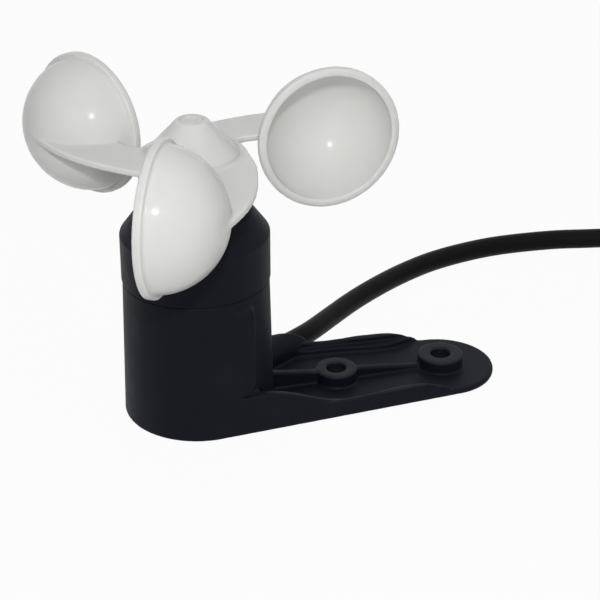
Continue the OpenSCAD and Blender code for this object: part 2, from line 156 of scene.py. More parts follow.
# The table top: pale card, so wide that its edge is out of sight, which keeps the object's soft
# shadow. It glows where the lens or a gloss sees it, and is there nearly as white as the room.
def open_finish(name):
    """A new material: its Principled shader, and a wire to start from."""
    material = bpy.data.materials.new(name)
    material.use_nodes = True
    return material, material.node_tree.nodes["Principled BSDF"], Wire(material.node_tree)


table_half = 3
table_up = -0.0004
table_corners = [(-1, -1), (1, -1), (1, 1), (-1, 1)]
table = bpy.data.meshes.new("table_top")
table.from_pydata(
    [(x * table_half, y * table_half, table_up) for x, y in table_corners], [], [(0, 1, 2, 3)])
table_top = bpy.data.objects.new("table_top", table)
bpy.context.scene.collection.objects.link(table_top)
card, shader, wire = open_finish("pale_card")
shader.inputs["Base Color"].default_value = (0.72, 0.72, 0.72, 1)
shader.inputs["Roughness"].default_value = 0.9
shader.inputs["Specular IOR Level"].default_value = 0.1
glow = wire.node("ShaderNodeEmission", None, {"Color": (1, 1, 1, 1), "Strength": 1.0})
shown = wire.node("ShaderNodeMixShader", None, {
    0: in_sight(wire) * 0.95, 1: Wire(wire.tree, shader.outputs[0]), 2: glow})
shown.into(wire.tree.nodes["Material Output"].inputs["Surface"])
table.materials.append(card)


# The lamps: a small soft one just over the lens, which makes the glints, and a wide weak one above.
# Three more wide ones, on the left, in front and behind, give light but no glints.
def hang_lamp(name, place, aim, size, power, glints):
    lamp = bpy.data.lights.new(name, "AREA")
    lamp.shape = "DISK"
    lamp.size = size
    lamp.energy = power
    hung = bpy.data.objects.new(name, lamp)
    hung.location = place
    hung.rotation_euler = (Vector(aim) - Vector(place)).to_track_quat("-Z", "Y").to_euler()
    hung.visible_glossy = glints
    bpy.context.scene.collection.objects.link(hung)


hang_lamp("lamp_over_lens", (-0.09, -0.48, 0.395), aim=(0.0, 0.0, 0.06),
          size=0.026, power=1.46, glints=True)
hang_lamp("lamp_above", (0.1, -0.1, 0.9), aim=(0.03, 0.0, 0.03),
          size=0.7, power=0.9, glints=True)
hang_lamp("lamp_left", (-0.36, -0.6, 0.54), aim=(0.03, 0.0, 0.06),
          size=0.4, power=1.0, glints=False)
hang_lamp("lamp_front", (0.2, -0.8, 0.35), aim=(0.03, 0.0, 0.06),
          size=0.5, power=0.35, glints=False)
hang_lamp("lamp_behind", (0.2, 0.75, 0.7), aim=(0.05, 0.0, 0.05),
          size=0.6, power=1.1, glints=False)


# The lead: a round two-core cable in soft black rubber, which lies on the table and is put away in
# a coil of four layers. It is one unbroken length, and only its first stretch lies in view.
lead_thick = 0.007
lead_route = [
    (33.07, 20.67, 4.5), (39.26, 24.54, 4.5), (44.1, 28.3, 4.3), (48.9, 32.7, 4),
    (54, 37.5, 3.7), (64, 46.2, 3.5), (75, 54.2, 3.5), (87, 61.6, 3.5), (100, 67.8, 3.5),
    (114, 71.8, 3.5), (129, 73.8, 3.5), (148, 73, 3.5), (162, 70.2, 3.6), (176, 66.8, 4),
    (190, 64, 4.6), (202, 62.6, 4.9), (211, 62.4, 4.9), (219, 62.4, 4.9),
]
coil_middle = (226, 16.9)
coil_rim = 45.5
coil_low = 4.9
coil_step = 7.6
coil_layers = 4
layer_turn = 675.0
coil_heart = coil_rim - coil_step * layer_turn / 360
coil_stop = coil_layers * layer_turn - 50
lead_end = 7.1


def coil_place(turned):
    """A point on the coil's line, by how far the lead has been wound, in degrees."""
    layer = math.floor(turned / layer_turn)
    across = (turned - layer * layer_turn) / 360 * coil_step
    out = coil_rim - across if layer % 2 == 0 else coil_heart + across
    up = coil_low
    for rise in range(1, coil_layers):
        along = min(max((turned - rise * layer_turn + 90) / 180, 0), 1)
        up += coil_step * along * along * (3 - 2 * along)
    way = math.radians(90 - turned)
    return (coil_middle[0] + out * math.cos(way), coil_middle[1] + out * math.sin(way), up)


def eased_line(points, parts):
    """A smooth line through points, with the two ends left straight."""
    p = np.array(points, float)
    line = [p[0]]
    for i in range(len(p) - 1):
        a, b = p[max(i - 1, 0)], p[i]
        c, d = p[i + 1], p[min(i + 2, len(p) - 1)]
        for t in np.linspace(0, 1, parts + 1)[1:]:
            bend = (2 * a - 5 * b + 4 * c - d) * t * t + (3 * b - a - 3 * c + d) * t ** 3
            line.append(0.5 * (2 * b + (c - a) * t + bend))
    return np.array(line)


stop_turn = math.radians(90 - coil_stop)
stop_way = np.array((math.sin(stop_turn), -math.cos(stop_turn), 0))
lead_line = list(eased_line(lead_route, 5))
lead_line += [np.array(coil_place(a)) for a in np.arange(0, coil_stop + 0.1, 6)]
lead_line.append(np.array(coil_place(coil_stop)) + lead_end * stop_way)


def tube(name, lines, thick):
    """Round runs along lines in millimetres, closed at both ends."""
    curve = bpy.data.curves.new(name, "CURVE")
    curve.dimensions = "3D"
    curve.bevel_depth = thick / 2
    curve.bevel_resolution = 8
    curve.use_fill_caps = True
    for line in lines:
        spline = curve.splines.new("POLY")
        spline.points.add(len(line) - 1)
        spline.points.foreach_set("co", np.c_[np.array(line) / 1000, np.ones(len(line))].ravel())
        spline.use_smooth = True
    piece = bpy.data.objects.new(name, curve)
    bpy.context.scene.collection.objects.link(piece)
    return piece


def grained(name, deep, pale, rough, shine, worn=None):
    """Moulded plastic or rubber: a fine grain, a faint bloom, and rubbed spots that shine more."""
    finish, shader, wire = open_finish(name)
    place = wire.node("ShaderNodeTexCoord", take="Object")
    grain = place.noise(2600.0, 3.0, 0.65)
    rubbed = place.noise(70.0, 5.0, 0.6).above(0.5, 0.75)
    colour = (grain.above(0.3, 0.75) * 0.7 + rubbed * 0.3).between(deep, pale)
    if worn:
        colour = worn(place, colour)
    colour.into(shader.inputs["Base Color"])
    (rough - rubbed * 0.08 + grain * 0.08).into(shader.inputs["Roughness"])
    shader.inputs["Specular IOR Level"].default_value = shine
    bump = {"Strength": 0.35, "Distance": 0.00006, "Height": grain}
    wire.node("ShaderNodeBump", None, bump).into(shader.inputs["Normal"])
    return finish


lead = tube("lead", [lead_line], lead_thick)
lead_rubber = grained(
    "lead_rubber", (0.0024, 0.0027, 0.0026, 1), (0.0052, 0.0058, 0.0054, 1), 0.4, 0.07)
lead.data.materials.append(lead_rubber)
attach(lead, "housing")
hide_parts("cable_free", "cable_coil")


# The ties: two straps of pale nylon round the coil, each pulled tight through its own square head,
# with the spare end snipped off just past it.
def open_tree(name, sizes):
    """A new Geometry Nodes tree, with inputs for its places, its named sizes and its finish."""
    tree = bpy.data.node_groups.new(name, "GeometryNodeTree")
    tree.interface.new_socket("Places", in_out="INPUT", socket_type="NodeSocketGeometry")
    for size in sizes:
        tree.interface.new_socket(size, in_out="INPUT", socket_type="NodeSocketFloat")
    tree.interface.new_socket("Finish", in_out="INPUT", socket_type="NodeSocketMaterial")
    tree.interface.new_socket("Made", in_out="OUTPUT", socket_type="NodeSocketGeometry")
    wire = Wire(tree)
    given = wire.node("NodeGroupInput").end.node.outputs
    return wire, {end.name: Wire(tree, end) for end in given if end.name}


def close_tree(wire, shape, finish):
    """The tree's end: real faces, with their finish on."""
    real = wire.node("GeometryNodeRealizeInstances", None, {0: shape})
    done = wire.node("GeometryNodeSetMaterial", None, {"Geometry": real, "Material": finish})
    wire.node("NodeGroupOutput", None, {0: done})
    return wire.tree


def grown(name, tree, places, sizes, edges=()):
    """What a tree makes at places in millimetres, as a plain mesh."""
    seed = bpy.data.meshes.new(name + "_places")
    seed.from_pydata([tuple(c / 1000 for c in place) for place in places], list(edges), [])
    piece = bpy.data.objects.new(name, seed)
    bpy.context.scene.collection.objects.link(piece)
    maker = piece.modifiers.new("maker", "NODES")
    maker.node_group = tree
    for item in tree.interface.items_tree:
        if item.in_out == "INPUT" and item.name in sizes:
            maker[item.identifier] = sizes[item.name]
    shown = piece.evaluated_get(bpy.context.evaluated_depsgraph_get())
    made = bpy.data.meshes.new_from_object(shown)
    piece.modifiers.remove(maker)
    piece.data = made
    made.name = name
    bpy.data.meshes.remove(seed)
    made.shade_smooth()
    made.set_sharp_from_angle(angle=math.radians(40))
    return piece


tie_turns = (200, 340)
tie_points = 120
strap_out = 4.4
strap_low = 0.65
strap_spots = 32


def taut_loop(turn):
    """The line a tight strap takes round the coil's turns, where it crosses them."""
    spots = []
    for wound in np.arange((90 - turn) % 360, coil_stop, 360):
        x, y, z = coil_place(wound)
        out = math.hypot(x - coil_middle[0], y - coil_middle[1])
        for a in 2 * math.pi * np.arange(strap_spots) / strap_spots:
            up = max(z + strap_out * math.sin(a), strap_low)
            spots.append((out + strap_out * math.cos(a), up))
    hull = np.array([spots[k] for k in geometry.convex_hull_2d(spots)])
    hull = np.roll(hull, -int(np.argmax(hull[:, 0])), axis=0)
    hull = np.vstack([hull, hull[:1]])
    run = np.r_[0, np.cumsum(np.hypot(*np.diff(hull, axis=0).T))]
    at = np.linspace(0, run[-1], tie_points + 1)[:-1]
    out, up = np.interp(at, run, hull[:, 0]), np.interp(at, run, hull[:, 1])
    a = math.radians(turn)
    return list(zip(coil_middle[0] + out * math.cos(a), coil_middle[1] + out * math.sin(a), up))


wire, given = open_tree("tie_maker", (
    "Strap Width", "Strap Thickness", "Head Size", "Head Depth", "Middle X", "Middle Y"))


def rounded_frame(across, up, corner):
    plain = wire.node(
        "GeometryNodeCurvePrimitiveQuadrilateral", None, {"Width": across, "Height": up})
    return wire.node("GeometryNodeFilletCurve", {"mode": "POLY"}, {
        "Curve": plain, "Count": 4, "Radius": corner})


def swept(path, section, sideways):
    held = wire.node("GeometryNodeSetCurveNormal", {"mode": "FREE"}, {
        "Curve": path, "Normal": sideways})
    return wire.node("GeometryNodeCurveToMesh", None, {
        "Curve": held, "Profile Curve": section, "Fill Caps": True})


def straight_run(start, end):
    """A line between two points, in parts of the head's depth and of its size."""
    ends = [wire.node("ShaderNodeCombineXYZ", None, {
        "X": given["Head Depth"] * x, "Z": given["Head Size"] * z}) for x, z in (start, end)]
    return wire.node("GeometryNodeCurvePrimitiveLine", None, {"Start": ends[0], "End": ends[1]})


def joined(first, second):
    both = wire.node("GeometryNodeJoinGeometry", None, {0: first})
    second.into(both.end.node.inputs[0])
    return both


along, across, _ = wire.node("GeometryNodeInputPosition").parts()
facing = wire.sum("ARCTAN2", across - given["Middle Y"], along - given["Middle X"])
beside = wire.node("ShaderNodeCombineXYZ", None, {"X": facing.sine() * -1, "Y": facing.cosine()})
strap = rounded_frame(given["Strap Width"], given["Strap Thickness"], 0.0003)
square = rounded_frame(given["Head Size"], given["Head Size"], 0.0007)
loops = swept(wire.node("GeometryNodeMeshToCurve", None, {"Mesh": given["Places"]}), strap, beside)
head = joined(swept(straight_run((-0.1, 0.0), (1.0, 0.0)), square, (0, 1, 0)),
              swept(straight_run((0.5, 0.4), (0.5, 1.0)), strap, (0, 1, 0)))
in_loop = wire.sum("MODULO", wire.node("GeometryNodeInputIndex"), tie_points)
heads = wire.node("GeometryNodeInstanceOnPoints", None, {
    "Points": given["Places"], "Selection": wire.sum("LESS_THAN", in_loop, 0.5), "Instance": head,
    "Rotation": wire.node("ShaderNodeCombineXYZ", None, {"Z": facing})})
tie_maker = close_tree(wire, joined(loops, heads), given["Finish"])
tie_edges = [(n * tie_points + k, n * tie_points + (k + 1) % tie_points)
             for n in range(len(tie_turns)) for k in range(tie_points)]
ties = grown("lead_ties", tie_maker, [spot for turn in tie_turns for spot in taut_loop(turn)], {
    "Strap Width": 0.0044, "Strap Thickness": 0.0012, "Head Size": 0.0062, "Head Depth": 0.0036,
    "Middle X": coil_middle[0] / 1000, "Middle Y": coil_middle[1] / 1000,
    "Finish": grained("tie_nylon", (0.62, 0.62, 0.59, 1), (0.7, 0.7, 0.67, 1), 0.38, 0.4),
}, tie_edges)
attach(ties, "housing")
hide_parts("cable_ties")


# The lead's far end: its sheath is stripped, and the brown and the blue core lie on the coil side
# by side, each ending in a crimped tin ferrule, ready for a terminal.
core_thick = 0.0019
core_apart = 1.3
tail_turn = (14, 20, 27, 34, 41, 48)
tail_out = {"brown": (43.4, 42.4, 41.7, 41.4, 41.3, 41.3),
            "blue": (45.2, 44.5, 43.8, 43.5, 43.4, 43.4)}
tail_up = {"brown": (27.2, 26, 25, 24.7, 24.7, 24.7), "blue": (27, 25.6, 24.4, 24, 24, 24)}
core_finish = {
    "brown": grained(
        "core_brown_skin", (0.06, 0.024, 0.011, 1), (0.082, 0.034, 0.016, 1), 0.38, 0.4),
    "blue": grained(
        "core_blue_skin", (0.012, 0.05, 0.19, 1), (0.018, 0.07, 0.24, 1), 0.38, 0.4),
}
ferrule_thick = 0.0012
ferrule_run = (0.0, 0.4, 4.0, 7.6, 8.0)


def machined(name, deep, pale, rough):
    """Turned or drawn metal: fine rings along its length, and a little tarnish that dulls it."""
    finish, shader, wire = open_finish(name)
    place = wire.node("ShaderNodeTexCoord", take="Object")
    rings = wire.node("ShaderNodeTexWave", {"bands_direction": "Z"}, {
        "Vector": place, "Scale": 700.0, "Distortion": 1.2, "Detail": 2.0, "Detail Scale": 3.0,
    }, take="Fac")
    dull = place.noise(260.0, 4.0, 0.6).above(0.45, 0.75)
    dull.between(pale, deep).into(shader.inputs["Base Color"])
    (rough + dull * 0.14 + rings * 0.05).into(shader.inputs["Roughness"])
    shader.inputs["Metallic"].default_value = 1.0
    bump = {"Strength": 0.15, "Distance": 0.00003, "Height": rings}
    wire.node("ShaderNodeBump", None, bump).into(shader.inputs["Normal"])
    return finish


ferrule_lines = []
for colour, side in (("brown", 1), ("blue", -1)):
    points = [lead_line[-1] + side * core_apart * np.array((stop_way[1], -stop_way[0], 0))]
    for turned_on, out, up in zip(tail_turn, tail_out[colour], tail_up[colour]):
        a = stop_turn - math.radians(turned_on)
        points.append(np.array((
            coil_middle[0] + out * math.cos(a), coil_middle[1] + out * math.sin(a), up)))
    tail = tube(f"lead_tail_{colour}", [eased_line(points, 6)], core_thick)
    tail.data.materials.append(core_finish[colour])
    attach(tail, "housing")
    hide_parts(f"tail_core_{colour}")
    on = np.array((math.sin(a), -math.cos(a), 0))
    ferrule_lines.append([points[-1] + on * d for d in ferrule_run])
ferrules = tube("lead_ferrules", ferrule_lines, ferrule_thick)
ferrules.data.materials.append(
    machined("ferrule_tin", (0.36, 0.36, 0.35, 1), (0.52, 0.52, 0.5, 1), 0.34))
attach(ferrules, "housing")
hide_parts("tail_ferrules")


# The base: the housing's lower half with its foot, one moulding in black satin plastic, hollow
# inside. A block squares the drum off toward the foot, and walls, bosses and a rib stiffen it.
def soft_least(a, b, ease):
    """The union of two shapes, with a fillet between them."""
    h = np.clip(0.5 + 0.5 * (b - a) / ease, 0, 1)
    return b * (1 - h) + a * h - ease * h * (1 - h)


def soft_most(a, b, ease):
    """What two shapes share, with its edge rounded."""
    return -soft_least(-a, -b, ease)


def round_corner(a, b, radius):
    """What two shapes at right angles share, grown by a radius that rounds its corner."""
    inside = np.minimum(np.maximum(a, b), 0)
    return inside + np.hypot(np.maximum(a, 0), np.maximum(b, 0)) - radius


def slope(shape, p):
    """The way a shape's distance grows at points, by small steps along each axis."""
    step = 0.04
    grows = np.empty_like(p)
    for k, d in enumerate(np.eye(3) * step):
        grows[:, k] = shape(*(p + d).T) - shape(*(p - d).T)
    return grows / (2 * step)


def moulding(name, shape, low, high, step):
    """A mesh of the surface where a shape's distance is nought, in millimetres, moved to metres."""
    axes = [np.arange(l, h + step, step) for l, h in zip(low, high)]
    size = [len(a) for a in axes]
    value = np.empty(size, np.float32)
    across = np.meshgrid(axes[1], axes[2], indexing="ij")
    for i, x in enumerate(axes[0]):
        value[i] = shape(np.full_like(across[0], x), across[0], across[1])
    inside = value < 0
    cells = [n - 1 for n in size]
    total = np.zeros(cells + [3], np.float32)
    count = np.zeros(cells, np.int16)
    quads = []

    # Each grid line that goes through the surface gives a face between the four cells round it.
    for axis in range(3):
        one = [slice(None)] * 3
        two = [slice(None)] * 3
        one[axis] = slice(0, -1)
        two[axis] = slice(1, None)
        crossing = inside[tuple(one)] != inside[tuple(two)]
        at = np.argwhere(crossing)
        v0 = value[tuple(one)][crossing]
        v1 = value[tuple(two)][crossing]
        place = np.stack([axes[k][at[:, k]] for k in range(3)], 1)
        place[:, axis] += step * v0 / (v0 - v1)
        others = [k for k in range(3) if k != axis]
        ring = []
        good = np.ones(len(at), bool)
        for a, b in ((-1, -1), (0, -1), (0, 0), (-1, 0)):
            cell = at.copy()
            cell[:, others[0]] += a
            cell[:, others[1]] += b
            fits = np.all((cell >= 0) & (cell < np.array(cells)), axis=1)
            good &= fits
            np.add.at(total, tuple(cell[fits].T), place[fits])
            np.add.at(count, tuple(cell[fits].T), 1)
            ring.append(cell)
        facing = inside[tuple(one)][crossing] ^ (axis == 1)
        for way in (True, False):
            chosen = good & (facing == way)
            corners = [r[chosen] for r in ring]
            quads.append(np.stack(corners if way else corners[::-1], 1))
    live = count > 0
    number = np.full(cells, -1, np.int64)
    number[live] = np.arange(live.sum())
    verts = (total[live] / count[live][:, None]).astype(np.float64)
    faces = np.concatenate([number[tuple(np.moveaxis(q, -1, 0))] for q in quads])
    edges = np.concatenate([faces[:, [k, (k + 1) % 4]] for k in range(4)])

    # The points are pulled onto the surface, and between pulls spread evenly along it.
    laps = 5
    for lap in range(laps):
        g = slope(shape, verts)
        long = np.maximum((g * g).sum(1), 0.05)
        shift = g * (shape(*verts.T) / long)[:, None]
        far = np.maximum(np.linalg.norm(shift, axis=1) / (0.6 * step), 1)
        verts = verts - shift / far[:, None]
        if lap < laps - 1:
            mean = np.zeros_like(verts)
            share = np.zeros(len(verts))
            for a, b in ((0, 1), (1, 0)):
                np.add.at(mean, edges[:, a], verts[edges[:, b]])
                np.add.at(share, edges[:, a], 1)
            pull = mean / np.maximum(share, 1)[:, None] - verts
            n = g / np.sqrt(long)[:, None]
            verts = verts + 0.5 * (pull - n * (pull * n).sum(1)[:, None])
    made = bpy.data.meshes.new(name)
    made.from_pydata((verts / 1000).tolist(), [], faces.tolist())
    made.polygons.foreach_set("use_smooth", np.ones(len(faces), bool))
    made.update()
    piece = bpy.data.objects.new(name, made)
    bpy.context.scene.collection.objects.link(piece)
    return piece


base_foot_r = 23.2
base_seam_r = 22.2
seam_up = 45.0
bore_r = 20
bore_floor = 2.6
block_from = 7.5
block_low = 18.5
block_round = 5.5
block_top = 43.2
foot_end_r = 17.1
foot_long = 79.5
foot_floor = 1.9
foot_ledge = foot_floor + 2
rib_half = 1.25
rib_ends = (19, 79.5)
holes_along = (44.5, 79.5)
hole_r = 3.2
boss_radii = (6.7, 7.3)
boss_up = 6
lead_way = math.radians(32)
lead_up = 4.5
tunnel_r = 5.25
tunnel_from = 16
lead_hole_r = 4
lead_hole_from = 8.5
post_turns = (92, 212, 332)
post_out = 15.6
post_r = 4.1
post_low = 1.5
post_up = 41
sink_r = 2.9
sink_up = 34
screw_hole_r = 1.6


def foot_outline(x, y):
    """Distance from the foot's outline: two circles and their tangents."""
    side = np.abs(y)
    b = (base_foot_r - foot_end_r) / foot_long
    a = math.sqrt(1 - b * b)
    k = side * -b + x * a
    near = np.hypot(side, x) - base_foot_r
    far = np.hypot(side, x - foot_long) - foot_end_r
    straight = side * a + x * b - base_foot_r
    return np.where(k < 0, near, np.where(k > a * foot_long, far, straight))


def eased_run(places, sizes):
    """Sizes at every quarter millimetre along the foot, smoothed between a few measured ones."""
    along = np.arange(0, 112.1, 0.25)
    run = np.pad(np.interp(along, places, sizes), 24, mode="edge")
    reach = np.exp(-0.5 * (np.arange(-24, 25) / 7) ** 2)
    return along, np.convolve(run, reach / reach.sum(), "valid")


wall_run = eased_run(
    (17, 23, 28, 33, 37.5, 42, 46.5, 52, 57, 67, 70.5, 73.5, 76.5, 79),
    (12.6, 11.4, 9.6, 7.5, 6.1, 5.3, 5.2, 5.5, 6, 6, 5.3, 4.3, 3.1, 2.3),
)
hollow_places = (10, 24, 30, 37, 44, 50, 55, 59, 63.5, 68, 72.5, 76.5, 79.5, 84)
hollow_low = eased_run(hollow_places, (
    16.4, 16.6, 16.6, 16.2, 15.6, 15.2, 14.6, 13.8, 13.4, 13.5, 14.8, 16.6, 18.5, 22))
hollow_high = eased_run(hollow_places, (
    18.6, 18.7, 18.6, 18.3, 17.7, 17.3, 16.9, 16.5, 16.2, 16.2, 16.6, 17.6, 19.5, 23))
rib_run = eased_run(
    (22.5, 29, 37.5, 44.5, 51, 62, 71.5, 79.5), (7.9, 7, 5.95, 5.6, 5.3, 4.3, 3.1, 3))


def round_axis(out, turn, up):
    """A point at a distance and an angle round the rotor's axis."""
    return (out * math.cos(math.radians(turn)), out * math.sin(math.radians(turn)), up)


def base_shape(x, y, z):
    out = np.hypot(x, y)
    side = np.abs(y)
    lean = z * (base_foot_r - base_seam_r) / seam_up
    drum = soft_most(out - base_foot_r + lean, z - seam_up, 0.4)
    plan = foot_outline(x, y) + lean
    within = np.clip((-plan - 0.4) / 2.5, 0, 1)

    corner = round_corner(x - block_from, block_low - z, block_round)
    block = soft_most(plan + 0.1, np.minimum(corner, x - block_from), 0.9)
    block = soft_most(block, z - block_top, 4.0)

    foot = soft_most(plan, (z - np.interp(x, *wall_run)) * 0.92, 0.9)
    low = soft_most(side - np.interp(x, *hollow_low), foot_floor - z, 1.3)
    high = soft_most(side - np.interp(x, *hollow_high), foot_ledge - z, 0.6)
    foot = soft_most(foot, -soft_least(low, high, 0.4), 0.7)
    rib = soft_most(side - rib_half, z - np.interp(x, *rib_run), 0.6)
    rib = soft_most(rib, np.maximum(x - rib_ends[1], rib_ends[0] - x), 0.3)
    foot = soft_least(foot, rib, 0.7)
    for along, radius in zip(holes_along, boss_radii):
        boss = np.hypot(x - along, y) - radius + 0.02 * (z - 2)
        foot = soft_least(foot, soft_most(boss, z - boss_up, 0.5), 0.6)

    u = x * math.cos(lead_way) + y * math.sin(lead_way)
    v = y * math.cos(lead_way) - x * math.sin(lead_way)
    from_lead = np.hypot(v, z - lead_up)
    tunnel = soft_most(soft_most(from_lead - tunnel_r, plan, 1.6), tunnel_from - u, 0.5)

    whole = soft_least(drum, block, 0.05 + 0.7 * within)
    whole = soft_least(whole, foot, 0.05 + 1.5 * within)
    whole = soft_least(whole, tunnel, 0.05 + 1.5 * within)
    whole = soft_most(whole, -z, 0.7)
    whole = soft_most(whole, -soft_most(out - bore_r, bore_floor - z, 0.9), 0.5)
    for turn in post_turns:
        px, py, _ = round_axis(post_out, turn, 0)
        from_post = np.hypot(x - px, y - py)
        post = soft_most(soft_most(from_post - post_r, z - post_up, 0.6), post_low - z, 0.5)
        whole = soft_least(whole, post, 1.5)
        whole = soft_most(whole, -soft_most(from_post - sink_r, z - sink_up, 0.5), 0.5)
        whole = soft_most(whole, -(from_post - screw_hole_r), 0.4)
    for along in holes_along:
        whole = soft_most(whole, -(np.hypot(x - along, y) - hole_r), 0.5)
    lead_hole = soft_most(from_lead - lead_hole_r, lead_hole_from - u, 0.5)
    return soft_most(whole, -lead_hole, 0.6)


def lighter_boss_tops(place, colour):
    """A lighter, greyer colour on the flat tops at the bosses' height, from the drum's side of the
    foot outward.
    """
    along, _, up = place.parts()
    on_top = up.above(0.0053, 0.0059) * (1 - up.above(0.0061, 0.0066))
    return (on_top * along.above(0.035, 0.037)).between(colour, (0.015, 0.0168, 0.0205, 1))


satin_deep = (0.0037, 0.0045, 0.0075, 1)
satin_pale = (0.0071, 0.0088, 0.0145, 1)
base = moulding(
    "base_moulding", base_shape, low=(-24.6, -24.6, -0.9), high=(98, 24.6, 46), step=0.585)
base.data.materials.append(grained("base_black", satin_deep, satin_pale, 0.5, 0.09, lighter_boss_tops))
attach(base, "housing")
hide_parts("base_housing")


# The lead's entry: the sheath runs in through a rubber sleeve in the foot's tunnel, under a nylon
# clamp that two screws pull down on it, and stops just inside the drum.
def dressed(finish, *names):
    """Gives a finish to pieces that keep the shape they were drawn with."""
    for name in names:
        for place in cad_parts[name].material_slots:
            place.material = finish


def by_lead(u, v, z):
    """A point along and beside the lead's way in."""
    c, s = math.cos(lead_way), math.sin(lead_way)
    return (u * c - v * s, u * s + v * c, z)


sheath_end = 9
sheath_line = [by_lead(u, 0, lead_up) for u in np.linspace(sheath_end, 38.99, 16)]
inner_lead = tube("lead_inside", [sheath_line], lead_thick)
inner_lead.data.materials.append(lead_rubber)
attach(inner_lead, "housing")
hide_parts("cable_inside")
dressed(grained("sleeve_rubber", (0.006, 0.006, 0.006, 1), (0.011, 0.011, 0.011, 1), 0.6, 0.15),
        "cable_grommet")
dressed(grained("clamp_nylon", (0.5, 0.49, 0.45, 1), (0.58, 0.57, 0.53, 1), 0.4, 0.4),
        "cable_clamp")


# The screws: small pan heads with a six-lobed recess and a rolled thread, in plated steel. Two hold
# the lead's clamp, two the board and three the cap, and three more pull the hub's halves together.
wire, given = open_tree("screw_maker", (
    "Head Radius", "Head Height", "Recess Radius", "Recess Depth", "Shank Radius", "Shank Length",
    "Thread Pitch", "Tilt",
))
lobe_count = 6
lobe_depth = 0.14
thread_depth = 0.32
rows = 47
blank = wire.node("GeometryNodeMeshGrid", None, {
    "Size X": 1.0, "Size Y": 1.0, "Vertices X": 37, "Vertices Y": 2 * rows + 1})
across, along, _ = wire.node("GeometryNodeInputPosition").parts()
about = (across + 0.5) * (2 * math.pi)
along = (along + 0.5) * rows
floor, wall, top, side, under = [along.rise(k, k + 1) for k in range(5)]
shank, tip = along.rise(5, rows - 1), along.rise(rows - 1, rows)
point = given["Shank Radius"] * 0.6
height = given["Head Height"] - given["Recess Depth"] + wall * given["Recess Depth"]
height = height - (top * top * 0.25 + side * 0.75) * given["Head Height"]
height = height - shank * (given["Shank Length"] - point) - tip * point
lobes = (about * lobe_count).cosine() * lobe_depth + 1
wound = height / given["Thread Pitch"] + about * (0.5 / math.pi)
ridge = 1 - wire.sum("PINGPONG", wound, 0.5) * thread_depth
out = given["Recess Radius"] * lobes * (floor - top) + given["Head Radius"] * (top - under)
out = out + given["Shank Radius"] * ridge * (under - tip)
set_at = wire.node("ShaderNodeCombineXYZ", None, {
    "X": out * about.cosine(), "Y": out * about.sine(), "Z": height})
rolled = wire.node("GeometryNodeSetPosition", None, {"Geometry": blank, "Position": set_at})
closed = wire.node("GeometryNodeMergeByDistance", None, {"Geometry": rolled, "Distance": 0.004})
screw = wire.node("GeometryNodeFlipFaces", None, {"Mesh": closed})
to_metres = (0.001, 0.001, 0.001)
driven = wire.node("GeometryNodeInstanceOnPoints", None, {
    "Points": given["Places"], "Instance": screw, "Scale": to_metres,
    "Rotation": wire.node("ShaderNodeCombineXYZ", None, {"X": given["Tilt"]})})
screw_maker = close_tree(wire, driven, given["Finish"])
screw_steel = machined("screw_steel", (0.36, 0.36, 0.35, 1), (0.56, 0.565, 0.57, 1), 0.26)


def screws(name, places, head, recess, shank, pitch, tilt, node, body):
    """Screws with the undersides of their heads at places, by (radius, height) of each part."""
    piece = grown(name, screw_maker, places, {
        "Head Radius": head[0], "Head Height": head[1],
        "Recess Radius": recess[0], "Recess Depth": recess[1],
        "Shank Radius": shank[0], "Shank Length": shank[1],
        "Thread Pitch": pitch, "Tilt": tilt, "Finish": screw_steel,
    })
    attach(piece, body)
    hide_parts(node)


arm_turns = (-117.7, 2.3, 122.3)
hub_screw_at = (3.2, 9)
hub_screw_out = math.hypot(*hub_screw_at)
hub_screw_turn = math.degrees(math.atan2(hub_screw_at[1], hub_screw_at[0]))
screws("clamp_screw_set", [by_lead(13.5, v, 9.8) for v in (6, -6)],
       head=(1.9, 1.7), recess=(1.0, 0.9), shank=(1.05, 8.6), pitch=0.8, tilt=0.0,
       node="clamp_screws", body="housing")
screws("board_screw_set", [round_axis(7.4, a, 36.6) for a in (122, 302)],
       head=(2.1, 1.6), recess=(1.05, 0.9), shank=(1.05, 9.1), pitch=0.8, tilt=0.0,
       node="board_screws", body="housing")
screws("cap_screw_set", [round_axis(post_out, a, sink_up) for a in post_turns],
       head=(2.7, 2.5), recess=(1.3, 1.3), shank=(1.25, 16.0), pitch=1.1, tilt=math.pi,
       node="cap_screws", body="housing")
screws("hub_screw_set", [round_axis(hub_screw_out, a + hub_screw_turn, 79.5) for a in arm_turns],
       head=(2.5, 2.0), recess=(1.2, 1.0), shank=(1.25, 7.6), pitch=1.0, tilt=math.pi,
       node="hub_screws", body="rotor")


# The sensor: a reed switch in its glass and a terminal block, on a small oblong board of green
# laminate that two screws hold inside the drum. The two cores rise from the lead to the terminals.
for colour, side in (("brown", 1), ("blue", -1)):
    climb = [
        by_lead(sheath_end, 1.4 * side, lead_up), by_lead(7.2, 1.4 * side, lead_up),
        by_lead(5.4, 1.45 * side, 5.4), by_lead(4.4, 1.5 * side, 7.9),
        by_lead(3.4, 1.6 * side, 12.5),
        (-2 * side, 0.4, 21), (-2 * side, 0, 25), (-2 * side, 0, 31),
    ]
    core = tube(f"lead_core_{colour}", [eased_line(climb, 6)], core_thick)
    core.data.materials.append(core_finish[colour])
    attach(core, "housing")
    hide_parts(f"core_{colour}")
dressed(grained("board_laminate", (0.012, 0.075, 0.03, 1), (0.02, 0.11, 0.05, 1), 0.34, 0.5),
        "sensor_board")
dressed(grained("terminal_plastic", (0.042, 0.18, 0.33, 1), (0.06, 0.24, 0.43, 1), 0.42, 0.4),
        "terminal_block")
reed_glass, shader, wire = open_finish("reed_glass")
drawn = wire.node("ShaderNodeTexCoord", take="Object").noise(420.0, 2.0)
